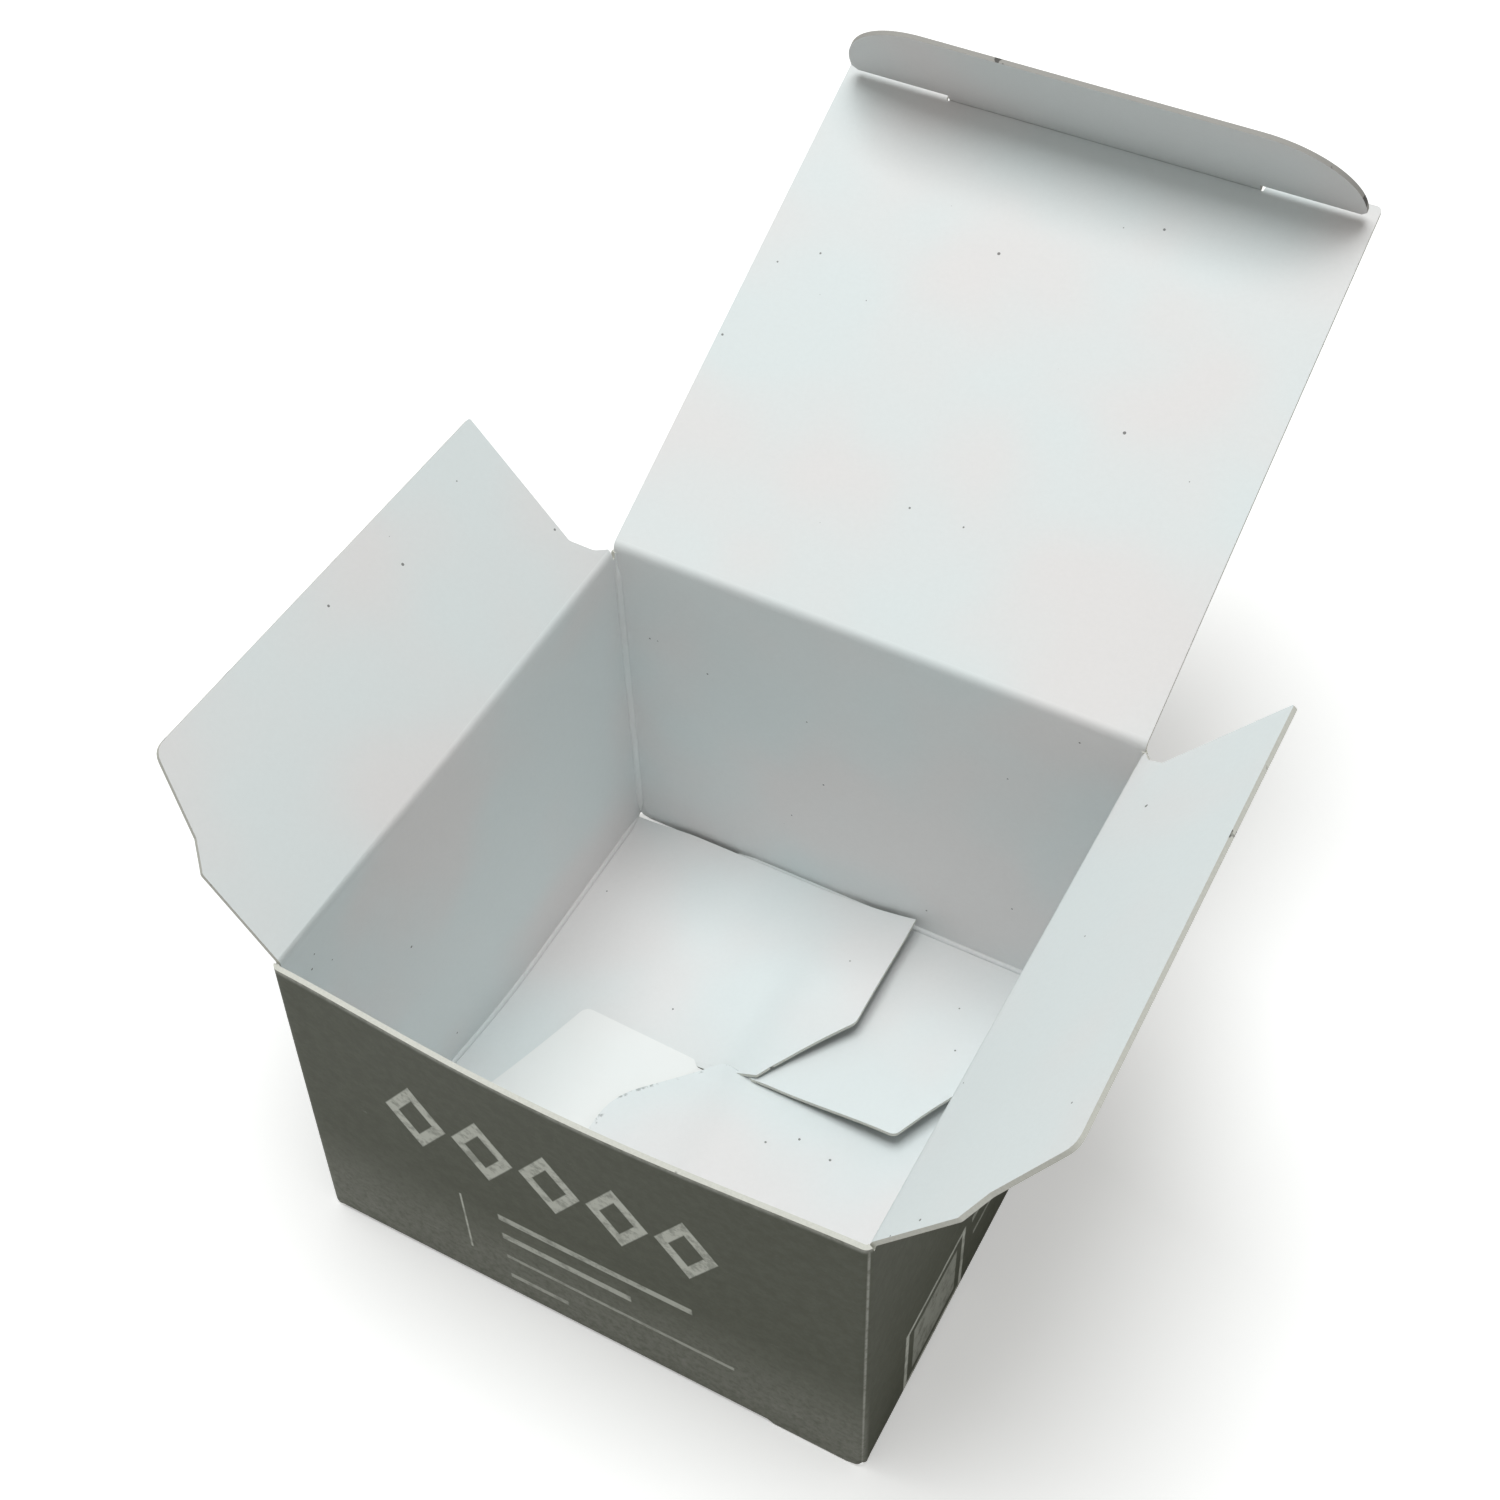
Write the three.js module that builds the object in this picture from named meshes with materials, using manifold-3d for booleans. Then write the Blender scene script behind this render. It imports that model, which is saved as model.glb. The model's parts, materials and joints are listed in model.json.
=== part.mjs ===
// Small folding carton for a cream jar, standing open.
// One sheet of white board, printed dark on the outside, is folded and glued into four walls,
// with a lid and its tuck flap, two dust flaps, and a bottom of four interlaced flaps.
// Units are millimetres. The origin is the centre of the bottom, on the surface the carton stands on.
// +X is to the right, +Y to the back and +Z up, as seen from the front.

import * as THREE from 'three';
import { mergeVertices } from 'three/addons/utils/BufferGeometryUtils.js';
import Module from 'manifold-3d';

// Driving dimensions: the sheet and the carton.
const WIDTH = 52;                 // left wall to right wall, outside
const DEPTH = 52;                 // front wall to back wall, outside
const HEIGHT = 39.2;              // surface it stands on to the top of the closed lid
const BOARD = 0.45;               // thickness of the board
const CREASE_GAP = 0.15;          // free board edge to its neighbour across a crease
const HINGE_SETBACK = 0.35;       // crease line to where a flap's flat part starts
const BEND_RADIUS = 0.6;          // outside radius of a bottom crease
const CORNER_RADIUS = 0.7;        // outside radius of a wall corner
const BEAD_RADIUS = 0.32;         // ridge that creasing raises inside a bottom fold
const CORNER_BEAD_RADIUS = 0.42;  // ridge inside a wall corner

// The lid and its tuck flap.
const LID_SIDE_CLEARANCE = 0.3;   // lid edge to the outside of the side walls
const LID_LENGTH = DEPTH - BOARD - 0.3;  // back crease to tuck crease, so the tuck passes the front wall
const LID_OPEN = 155;             // degrees from closed
const TUCK_LENGTH = 11.2;
const TUCK_SIDE_CLEARANCE = 0.65; // tuck to the inside of the side walls, clear of the corner ridges
const TUCK_HALF_WIDTH = WIDTH / 2 - BOARD - TUCK_SIDE_CLEARANCE;
const TUCK_END_RADIUS = 9;
const TUCK_END_START = 2;         // crease to where the tuck's round ends begin
const TUCK_FOLD = 96;             // degrees from flat
const SLIT_LENGTH = 9.5;          // each lock slit, from the tuck's end inwards
const SLIT_DEPTH = 1.1;           // how far the lid's corner tabs pass the crease

// The dust flaps: distances along the crease from the front corner, and out from the crease.
const DUST_DROP = 0.65;           // lid crease down to the dust flaps' creases
const DUST_LENGTH = 18.2;
const DUST_LEFT_OPEN = 138.3;     // degrees from closed
const DUST_RIGHT_OPEN = 130.4;
const DUST_FRONT_SETBACK = 0.7;
const DUST_SHOULDER = [1.75, 9.1];
const DUST_CHAMFER = [3.6, 11.3];
const DUST_FRONT_CORNER = 6.7;
const DUST_BACK_CORNER = 1.8;     // its distance from the back corner
const DUST_BACK_DIP = 0.8;        // how much shorter the flap is at the back
const DUST_NECK = [3.3, 3.6];     // notch beside the back corner
const DUST_BACK_SETBACK = 0.9;

// The glue flap, on the back wall's crease and glued inside the right wall.
const GLUE_WIDTH = 12;
const GLUE_END_INSET = 1.6;
const GLUE_END_SLANT = 2.2;

// The bottom: each flap lies over the next one round, and under the one before.
const LAYER = BOARD + 0.15;       // rise of one flap over another
const RAMP = 8;                   // distance from the wall in which a flap rises by one layer
const RELIEF = 8.5;               // part of each wall's bottom edge, at one end, without a flap
const BACK_RELIEF = 12;           // the same for the back wall
const FLAP_CORNER_GAP = 0.95;     // flap to the wall it passes
const LEFT_FLAP_CURL = 1.9;       // lift of the left flap's inner end above one layer
const LEFT_FLAP_TIP_CURL = 0.45;  // more lift at its very end
const BACK_FLAP_LIFT = 0.75;      // lift of the back flap's front edge above one layer
const RIGHT_FLAP_LOBE = 0.8;      // lift of the right flap's lobe, which lies on two layers
const FRONT_FLAP_LIFT = 0.12;

const halfWidth = WIDTH / 2;
const halfDepth = DEPTH / 2;
const rim = HEIGHT - BOARD - CREASE_GAP;                   // top edge of the front and back walls
const dustCrease = HEIGHT - DUST_DROP;                     // top of the closed dust flaps
const sideRim = dustCrease - BOARD - CREASE_GAP;           // top edge of the side walls

const wasm = await Module();
wasm.setup();

const printed = 0x53544a;
const boardWhite = 0xdfe5e5;

function material(color) {
  return new THREE.MeshStandardMaterial({ color, roughness: 0.75, metalness: 0 });
}

function solidOf(geometry) {
  const bare = geometry.clone();
  bare.deleteAttribute('normal');
  bare.deleteAttribute('uv');
  const merged = mergeVertices(bare, 1e-5);
  return new wasm.Manifold(new wasm.Mesh({
    numProp: 3,
    vertProperties: new Float32Array(merged.attributes.position.array),
    triVerts: new Uint32Array(merged.index.array),
  }));
}

function geometryOf(solid) {
  const mesh = solid.getMesh();
  const geometry = new THREE.BufferGeometry();
  geometry.setAttribute('position', new THREE.BufferAttribute(mesh.vertProperties, 3));
  geometry.setIndex(new THREE.BufferAttribute(mesh.triVerts, 1));
  geometry.computeVertexNormals();
  return geometry;
}

// A closed outline from corners [x, y, radius], each rounded by an arc of its radius.
function roundedOutline(corners) {
  const shape = new THREE.Shape();
  corners.forEach(([x, y, radius = 0], i) => {
    const corner = new THREE.Vector2(x, y);
    const [px, py] = corners[(i + corners.length - 1) % corners.length];
    const [nx, ny] = corners[(i + 1) % corners.length];
    const back = new THREE.Vector2(px, py).sub(corner);
    const ahead = new THREE.Vector2(nx, ny).sub(corner);
    const half = Math.abs(back.angleTo(ahead)) / 2;
    const cut = Math.min(radius / Math.tan(half), back.length() / 2, ahead.length() / 2);
    const start = corner.clone().addScaledVector(back.normalize(), cut);
    const end = corner.clone().addScaledVector(ahead.normalize(), cut);
    if (i === 0) {
      shape.moveTo(start.x, start.y);
    } else {
      shape.lineTo(start.x, start.y);
    }
    if (cut > 0) {
      shape.quadraticCurveTo(corner.x, corner.y, end.x, end.y);
    }
  });
  shape.closePath();
  return shape;
}

function prism(shape, bottom, top, curveSegments = 5) {
  const geometry = new THREE.ExtrudeGeometry(shape, { depth: top - bottom, bevelEnabled: false, curveSegments });
  return geometry.translate(0, 0, bottom);
}

function box(x0, x1, y0, y1, z0, z1) {
  const geometry = new THREE.BoxGeometry(x1 - x0, y1 - y0, z1 - z0);
  return solidOf(geometry.translate((x0 + x1) / 2, (y0 + y1) / 2, (z0 + z1) / 2));
}

// Smooth step: 0 at a, 1 at b, level beyond both.
function rise(a, b, value) {
  const t = THREE.MathUtils.clamp((value - a) / (b - a), 0, 1);
  return t * t * (3 - 2 * t);
}

// Grid lines from a start through spans of [end, number of steps].
function lines(start, ...spans) {
  const list = [start];
  let from = start;
  for (const [to, steps] of spans) {
    for (let i = 1; i <= steps; i += 1) {
      list.push(from + (to - from) * i / steps);
    }
    from = to;
  }
  return list;
}

// A sheet of board over the grid of xs and ys, its underside at height(x, y).
function sheet(xs, ys, height) {
  const positions = [];
  const index = [];
  for (const lift of [0, BOARD]) {
    for (const y of ys) {
      for (const x of xs) {
        positions.push(x, y, height(x, y) + lift);
      }
    }
  }
  const columns = xs.length;
  const layer = columns * ys.length;
  const quad = (a, b, c, d) => index.push(a, b, c, a, c, d);
  for (let j = 0; j + 1 < ys.length; j += 1) {
    for (let i = 0; i + 1 < columns; i += 1) {
      const k = j * columns + i;
      quad(k, k + columns, k + columns + 1, k + 1);
      quad(layer + k, layer + k + 1, layer + k + columns + 1, layer + k + columns);
    }
  }
  for (let i = 0; i + 1 < columns; i += 1) {
    const far = (ys.length - 1) * columns + i;
    quad(i, i + 1, layer + i + 1, layer + i);
    quad(far + 1, far, layer + far, layer + far + 1);
  }
  for (let j = 0; j + 1 < ys.length; j += 1) {
    const near = j * columns;
    const far = near + columns - 1;
    quad(near + columns, near, layer + near, layer + near + columns);
    quad(far, far + columns, layer + far + columns, layer + far);
  }
  const geometry = new THREE.BufferGeometry();
  geometry.setAttribute('position', new THREE.Float32BufferAttribute(positions, 3));
  geometry.setIndex(index);
  return solidOf(geometry);
}

// Heights of the four bottom flaps' undersides. Each starts level at its own wall.
function leftFlapHeight(x, y) {
  const overBack = (LAYER + 0.06) * rise(-halfWidth + BEND_RADIUS, -halfWidth + RAMP, x) * rise(0.4, 7.4, y);
  const curl = LEFT_FLAP_CURL * rise(-4.2, 1.8, x);
  return overBack + curl + LEFT_FLAP_TIP_CURL * rise(0.5, 6.5, x) * rise(2, 9, y);
}

function frontFlapHeight(x, y) {
  const out = y + halfDepth;
  const level = LAYER * rise(BEND_RADIUS, RAMP, out) + FRONT_FLAP_LIFT * rise(18, 27, out);
  return level * rise(-1.5, -6, x);
}

function rightFlapHeight(x, y) {
  const overFront = LAYER * rise(BEND_RADIUS, RAMP, halfWidth - x) * (1 - 0.1 * rise(-4.6, 1.4, y));
  const underBack = 1 - rise(3.4, halfDepth - RELIEF - 1, y);
  const lobe = RIGHT_FLAP_LOBE * rise(0.7, -3.9, x);
  const tip = 0.2 * rise(-1.2, -2.6, x) * rise(0.5, 2, y);
  return overFront * underBack + lobe + tip;
}

function backFlapHeight(x, y) {
  const out = halfDepth - y;
  const level = LAYER * rise(BEND_RADIUS, RAMP, out) + BACK_FLAP_LIFT * rise(RAMP, 20, out);
  return level * rise(-5.7, 2.8, x);
}

// Outlines of the four bottom flaps. The hidden edges keep clear of the neighbours' creases.
const leftHinge = -halfWidth + BEND_RADIUS;
const rightHinge = halfWidth - BEND_RADIUS;
const frontHinge = -halfDepth + BEND_RADIUS;
const backHinge = halfDepth - BEND_RADIUS;
const flapPastBack = halfDepth - FLAP_CORNER_GAP;
const flapPastFront = -halfDepth + FLAP_CORNER_GAP;

const leftFlapOutline = roundedOutline([
  [leftHinge, flapPastBack],
  [leftHinge, -halfDepth + RELIEF],
  [-halfWidth + 8, -halfDepth + RELIEF, 2],
  [-12, -10, 3],
  [-7.6, -2, 2],
  [-6.3, 1.5, 0.5],
  [-3.2, 1.75, 0.3],
  [-2.5, 2.05, 0.1],
  [-1.9, 2.25],
  [-1.0, 2.15, 0.3],
  [0.6, 2.4, 0.15],
  [6.5, 11.2, 0.4],
  [6.1, flapPastBack, 0.5],
]);

const frontFlapOutline = roundedOutline([
  [-halfWidth + FLAP_CORNER_GAP, frontHinge],
  [halfWidth - RELIEF, frontHinge],
  [halfWidth - RELIEF, -halfDepth + 7, 2],
  [10, -8, 4],
  [3, 1.2, 2],
  [-5.2, 1.2, 0.2],
  [-5.8, 1.8, 0.2],
  [-17.8, 1.9, 1.6],
]);

const rightFlapOutline = roundedOutline([
  [rightHinge, flapPastFront],
  [rightHinge, halfDepth - RELIEF],
  [halfWidth - 7, halfDepth - RELIEF, 2],
  [12, 11, 4],
  [4, 5.5, 2],
  [1.6, 4, 0.5],
  [0.7, 1.95, 0.1],
  [-1.0, 1.8, 0.3],
  [-2.0, 1.95, 0.2],
  [-2.6, 2.5, 0.2],
  [-10.3, -5.6, 2.2],
  [-10.3, flapPastFront, 2],
]);

const backFlapOutline = roundedOutline([
  [halfWidth - FLAP_CORNER_GAP, backHinge],
  [-halfWidth + BACK_RELIEF, backHinge],
  [-0.1, 2.3, 0.3],
  [14.6, 2.9, 0.4],
]);

function bottomFlap(outline, xs, ys, height) {
  return sheet(xs, ys, height).intersect(solidOf(prism(outline, -1, 8)));
}

// A bottom crease: a quarter bend from wall to flap with a raised bead inside, along one wall.
// It is drawn with v in from the wall and z up, and runs from one corner distance to another.
function bottomCrease(length) {
  const lap = 0.3;
  const inner = BEND_RADIUS - BOARD;
  const profile = new THREE.Shape();
  profile.moveTo(0, BEND_RADIUS + lap);
  profile.lineTo(0, BEND_RADIUS);
  profile.absarc(BEND_RADIUS, BEND_RADIUS, BEND_RADIUS, Math.PI, 1.5 * Math.PI, false);
  profile.lineTo(BEND_RADIUS + lap, 0);
  profile.lineTo(BEND_RADIUS + lap, BOARD);
  profile.lineTo(BEND_RADIUS, BOARD);
  profile.absarc(BEND_RADIUS, BEND_RADIUS, inner, 1.5 * Math.PI, Math.PI, true);
  profile.lineTo(BOARD, BEND_RADIUS + lap);
  profile.closePath();
  const bend = solidOf(prism(profile, 0, length));
  const bead = new THREE.CylinderGeometry(BEAD_RADIUS, BEAD_RADIUS, length, 12);
  bead.rotateX(Math.PI / 2).translate(BOARD + 0.08, BOARD + 0.08, length / 2);
  return bend.add(solidOf(bead));
}

// Places a crease drawn as v, z, u so that u runs from its corner along the wall, and v inwards.
function placeCrease(crease, corner, along, inward) {
  const up = new THREE.Vector3(0, 0, 1);
  const frame = new THREE.Matrix4().makeBasis(inward, up, along).setPosition(corner);
  return crease.transform(frame.elements);
}

function cartonWalls() {
  const outer = new THREE.Shape();
  const r = CORNER_RADIUS;
  outer.moveTo(-halfWidth + r, -halfDepth);
  outer.absarc(halfWidth - r, -halfDepth + r, r, 1.5 * Math.PI, 2 * Math.PI, false);
  // The right wall ends raw at the back, where the back wall turns in behind it as the glue flap.
  outer.lineTo(halfWidth, halfDepth - BOARD);
  outer.lineTo(halfWidth - BOARD, halfDepth - BOARD);
  outer.absarc(halfWidth - 2 * BOARD, halfDepth - BOARD, BOARD, 0, 0.5 * Math.PI, false);
  outer.absarc(-halfWidth + r, halfDepth - r, r, 0.5 * Math.PI, Math.PI, false);
  outer.absarc(-halfWidth + r, -halfDepth + r, r, Math.PI, 1.5 * Math.PI, false);
  const inner = new THREE.Path();
  inner.moveTo(-halfWidth + BOARD, -halfDepth + BOARD);
  inner.lineTo(-halfWidth + BOARD, halfDepth - BOARD);
  inner.lineTo(halfWidth - BOARD, halfDepth - BOARD);
  inner.lineTo(halfWidth - BOARD, -halfDepth + BOARD);
  inner.closePath();
  outer.holes.push(inner);
  const foot = 0.1;
  let walls = solidOf(prism(outer, foot, rim, 4));

  const beadInset = BOARD + 0.1;
  for (const [sideX, sideY] of [[-1, -1], [-1, 1], [1, -1]]) {
    const bead = new THREE.CylinderGeometry(CORNER_BEAD_RADIUS, CORNER_BEAD_RADIUS, sideRim - BEND_RADIUS, 16);
    bead.rotateX(Math.PI / 2);
    bead.translate(sideX * (halfWidth - beadInset), sideY * (halfDepth - beadInset), (sideRim + BEND_RADIUS) / 2);
    walls = walls.add(solidOf(bead));
  }

  // The side walls stop lower, because their flaps fold under the lid.
  const reach = halfWidth + 1;
  const between = halfDepth - BOARD;
  walls = walls.subtract(box(-reach, -halfWidth + 2, -between, between, sideRim, rim + 1));
  walls = walls.subtract(box(halfWidth - 2, reach, -between, between, sideRim, rim + 1));
  return walls.add(glueFlap());
}

function glueFlap() {
  const inside = halfWidth - BOARD;
  const back = halfDepth - BOARD;
  const top = sideRim - GLUE_END_INSET;
  const shape = new THREE.Shape();
  shape.moveTo(back + 0.1, GLUE_END_INSET);
  shape.lineTo(back + 0.1, top);
  shape.lineTo(back - GLUE_WIDTH, top - GLUE_END_SLANT);
  shape.lineTo(back - GLUE_WIDTH, GLUE_END_INSET + GLUE_END_SLANT);
  shape.closePath();
  const flap = prism(shape, 0, BOARD + 0.1);
  const axes = new THREE.Matrix4().makeBasis(
    new THREE.Vector3(0, 1, 0),
    new THREE.Vector3(0, 0, 1),
    new THREE.Vector3(1, 0, 0),
  );
  return solidOf(flap.applyMatrix4(axes).translate(inside - BOARD, 0, 0));
}

function cartonBody() {
  const X = new THREE.Vector3(1, 0, 0);
  const Y = new THREE.Vector3(0, 1, 0);
  const creases = [
    // corner where the flap reaches the next wall, direction along the wall, inward, length of crease
    [new THREE.Vector3(-halfWidth, flapPastBack, 0), Y.clone().negate(), X.clone(),
      DEPTH - FLAP_CORNER_GAP - RELIEF],
    [new THREE.Vector3(-halfWidth + FLAP_CORNER_GAP, -halfDepth, 0), X.clone(), Y.clone(),
      WIDTH - FLAP_CORNER_GAP - RELIEF],
    [new THREE.Vector3(halfWidth, flapPastFront, 0), Y.clone(), X.clone().negate(),
      DEPTH - FLAP_CORNER_GAP - RELIEF],
    [new THREE.Vector3(halfWidth - FLAP_CORNER_GAP, halfDepth, 0), X.clone().negate(), Y.clone().negate(),
      WIDTH - FLAP_CORNER_GAP - BACK_RELIEF],
  ];

  let body = cartonWalls();
  for (const [corner, along, inward, length] of creases) {
    const end = corner.clone().addScaledVector(along, length);
    const deep = end.clone().addScaledVector(inward, 2);
    const low = corner.clone().addScaledVector(inward, -1).min(deep);
    const high = corner.clone().addScaledVector(inward, -1).max(deep);
    body = body.subtract(box(low.x, high.x, low.y, high.y, -1, BEND_RADIUS));
  }
  for (const [corner, along, inward, length] of creases) {
    body = body.add(placeCrease(bottomCrease(length), corner, along, inward));
  }

  const leftFlap = bottomFlap(
    leftFlapOutline,
    lines(-halfWidth, [-halfWidth + RAMP, 4], [-4.2, 1], [1.8, 6], [7, 3]),
    lines(-halfDepth, [0.4, 1], [9, 7], [halfDepth, 1]),
    leftFlapHeight,
  );
  const frontFlap = bottomFlap(
    frontFlapOutline,
    lines(-halfWidth, [-6, 1], [-1.5, 4], [halfWidth, 1]),
    lines(-halfDepth, [-halfDepth + RAMP, 4], [-8, 1], [3, 3]),
    frontFlapHeight,
  );
  const rightFlap = bottomFlap(
    rightFlapOutline,
    lines(-11, [-3.9, 1], [0.7, 5], [halfWidth - RAMP, 1], [halfWidth, 4]),
    lines(-halfDepth, [-4.6, 1], [3.4, 7], [halfDepth - RELIEF - 1, 5], [halfDepth, 1]),
    rightFlapHeight,
  );
  const backFlap = bottomFlap(
    backFlapOutline,
    lines(-halfWidth, [-5.7, 1], [2.8, 7], [halfWidth, 1]),
    lines(0, [2, 1], [halfDepth - RAMP, 5], [halfDepth, 4]),
    backFlapHeight,
  );
  return body.add(leftFlap).add(frontFlap).add(rightFlap).add(backFlap);
}

// The lid lies on z = 0 with its outer face up and its back crease at y = 0, running to -y.
// Its two corner tabs pass the tuck crease, because the crease is slit through at both ends.
function lidPanel() {
  const side = halfWidth - LID_SIDE_CLEARANCE;
  const slitEnd = TUCK_HALF_WIDTH - SLIT_LENGTH;
  const end = -(LID_LENGTH - BOARD - CREASE_GAP);
  const tabEnd = -(LID_LENGTH + SLIT_DEPTH);
  const outline = roundedOutline([
    [-side, -HINGE_SETBACK],
    [-side, tabEnd, 0.6],
    [-slitEnd - 0.2, tabEnd + 0.4, 0.3],
    [-slitEnd, end, 0.1],
    [slitEnd, end, 0.1],
    [slitEnd + 0.2, tabEnd + 0.4, 0.3],
    [side, tabEnd, 0.6],
    [side, -HINGE_SETBACK],
  ]);
  return prism(outline, -BOARD, 0);
}

// The tuck flap lies on z = 0, with its crease at y = 0 and its round ends to -y.
function tuckFlap() {
  const slitEnd = TUCK_HALF_WIDTH - SLIT_LENGTH - 0.25;
  const slitRoot = -(SLIT_DEPTH + 0.25);
  const arcX = TUCK_HALF_WIDTH - TUCK_END_RADIUS;
  const arcY = -(TUCK_LENGTH - TUCK_END_RADIUS);
  const shape = new THREE.Shape();
  shape.moveTo(slitEnd, -HINGE_SETBACK);
  shape.lineTo(-slitEnd, -HINGE_SETBACK);
  shape.lineTo(-slitEnd, slitRoot);
  shape.lineTo(-TUCK_HALF_WIDTH + 0.5, slitRoot);
  shape.lineTo(-TUCK_HALF_WIDTH, -TUCK_END_START);
  shape.absarc(-arcX, arcY, TUCK_END_RADIUS, Math.PI, 1.5 * Math.PI, false);
  shape.absarc(arcX, arcY, TUCK_END_RADIUS, 1.5 * Math.PI, 2 * Math.PI, false);
  shape.lineTo(TUCK_HALF_WIDTH, -TUCK_END_START);
  shape.lineTo(TUCK_HALF_WIDTH - 0.5, slitRoot);
  shape.lineTo(slitEnd, slitRoot);
  shape.closePath();
  return prism(shape, -BOARD, 0, 12);
}

// A dust flap lies on z = 0 with its crease at x = 0. It runs to +x, and its mirror image to -x.
// Its front shoulder slips into the lid's slit, and the notch at the back clears the lid's corner.
function dustFlap(mirror) {
  const front = -halfDepth;
  const back = halfDepth;
  const corners = [
    [HINGE_SETBACK, front + DUST_FRONT_SETBACK],
    [DUST_SHOULDER[1], front + DUST_SHOULDER[0], 0.4],
    [DUST_CHAMFER[1], front + DUST_CHAMFER[0], 0.5],
    [DUST_LENGTH, front + DUST_FRONT_CORNER, 1.6],
    [DUST_LENGTH - DUST_BACK_DIP, back - DUST_BACK_CORNER, 0.3],
    [DUST_NECK[1], back - DUST_NECK[0], 0.4],
    [1.3, back - 2.1, 1.6],
    [HINGE_SETBACK, back - DUST_BACK_SETBACK],
  ];
  const outline = roundedOutline(mirror ? corners.map(([x, y, r]) => [-x, y, r]) : corners);
  return prism(outline, -BOARD, 0);
}

function piece(name, geometry, color) {
  const mesh = new THREE.Mesh(geometry, material(color));
  mesh.name = name;
  return mesh;
}

const carton = new THREE.Group();
carton.add(piece('carton_body', geometryOf(cartonBody()), printed));

const lid = new THREE.Group();
lid.position.set(0, halfDepth, HEIGHT);
lid.rotation.x = -THREE.MathUtils.degToRad(LID_OPEN);
lid.add(piece('lid_panel', lidPanel(), boardWhite));

const tuck = new THREE.Group();
tuck.position.set(0, -LID_LENGTH, 0);
tuck.rotation.x = THREE.MathUtils.degToRad(TUCK_FOLD);
tuck.add(piece('tuck_flap', tuckFlap(), boardWhite));
lid.add(tuck);
carton.add(lid);

const dustLeft = new THREE.Group();
dustLeft.position.set(-halfWidth, 0, dustCrease);
dustLeft.rotation.y = -THREE.MathUtils.degToRad(DUST_LEFT_OPEN);
dustLeft.add(piece('dust_flap_left', dustFlap(false), boardWhite));
carton.add(dustLeft);

const dustRight = new THREE.Group();
dustRight.position.set(halfWidth, 0, dustCrease);
dustRight.rotation.y = THREE.MathUtils.degToRad(DUST_RIGHT_OPEN);
dustRight.add(piece('dust_flap_right', dustFlap(true), boardWhite));
carton.add(dustRight);

export default carton;
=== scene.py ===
import json
import math

import bmesh
import bpy
import numpy as np
from mathutils import Matrix, Vector


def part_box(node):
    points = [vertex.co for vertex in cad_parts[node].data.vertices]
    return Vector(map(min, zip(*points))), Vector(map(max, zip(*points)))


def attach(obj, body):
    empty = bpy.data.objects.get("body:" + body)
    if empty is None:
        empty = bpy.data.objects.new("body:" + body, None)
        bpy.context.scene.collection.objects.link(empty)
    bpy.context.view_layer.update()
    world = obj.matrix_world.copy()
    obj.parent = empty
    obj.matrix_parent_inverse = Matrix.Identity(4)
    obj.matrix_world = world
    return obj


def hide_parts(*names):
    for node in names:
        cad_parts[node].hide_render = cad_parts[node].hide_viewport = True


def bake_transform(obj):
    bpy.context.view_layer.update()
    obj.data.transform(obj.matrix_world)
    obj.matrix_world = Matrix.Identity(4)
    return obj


# A small folding carton of printed white board, standing open on a pale floor.
# Sizes are in millimetres up to the last step of each shape, where MM makes them metres.

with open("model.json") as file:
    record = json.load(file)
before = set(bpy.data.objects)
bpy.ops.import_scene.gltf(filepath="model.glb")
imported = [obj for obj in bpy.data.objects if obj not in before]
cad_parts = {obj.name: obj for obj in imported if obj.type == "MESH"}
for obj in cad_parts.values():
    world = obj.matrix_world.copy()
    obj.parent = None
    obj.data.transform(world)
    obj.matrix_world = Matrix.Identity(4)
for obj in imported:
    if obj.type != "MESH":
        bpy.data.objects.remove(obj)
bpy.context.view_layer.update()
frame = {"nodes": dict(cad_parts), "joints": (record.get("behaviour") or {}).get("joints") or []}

MM = 0.001

# Sizes of the board and the carton
BOARD = 0.45
CREASE_GAP = 0.15
HINGE_SETBACK = 0.35
BEND_RADIUS = 0.6
CORNER_RADIUS = 0.7
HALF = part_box("carton_body")[1][0] / MM
LID_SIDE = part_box("lid_panel")[1][0] / MM
TUCK_ROOT_HALF = 15.15
FOOT = 0.1

# How the walls have eased out of true, in mm: the front's bow and its left corner's lean at the rim,
# the left corner's spread at the rim and at the foot, and the round of the walls' feet at the corners
FRONT_BOW = 1.15
CORNER_PULL = 0.12
RIM_SPREAD = 0.4
FOOT_SPREAD = 1.9
FOOT_ROUND = 1.6

# Where the ease begins: in y for all of it and in x for the lean. Only the front band bows.
EASE_START = 4
PULL_START = -6
FRONT_BAND = 2
BOW_POWER = 1.3


def joint(name):
    """The frame's joint of that name."""
    return next(j for j in frame["joints"] if j["name"] == name)


def hinge_point(name):
    """A joint's place in millimetres."""
    return np.array(joint(name)["pos_m"]) / MM


def swing(name):
    """A joint's angle in radians from rest to its maximum."""
    return math.radians(joint(name)["range_deg"][1])


LID_OPEN = swing("lid_hinge")
TUCK_FOLD = swing("tuck_hinge")
DUST_OPEN = {side: swing(f"dust_{side}_hinge") for side in ("left", "right")}
LID_CREASE = hinge_point("lid_hinge")[2]
DUST_CREASE = hinge_point("dust_left_hinge")[2]
RIM = LID_CREASE - BOARD - CREASE_GAP
SIDE_RIM = DUST_CREASE - BOARD - CREASE_GAP

# The bottom flaps: how far they rise over each other and over what width, and where they begin and end
LAYER = BOARD + 0.15
RAMP = 8
RELIEF = 8.5
BACK_RELIEF = 12
FLAP_CORNER_GAP = 0.95


def smooth_step(low, high, value):
    """0 below low, 1 above high, and 3t^2 - 2t^3 between them; low may be the larger one."""
    t = np.clip((value - low) / (high - low), 0, 1)
    return t * t * (3 - 2 * t)


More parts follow.
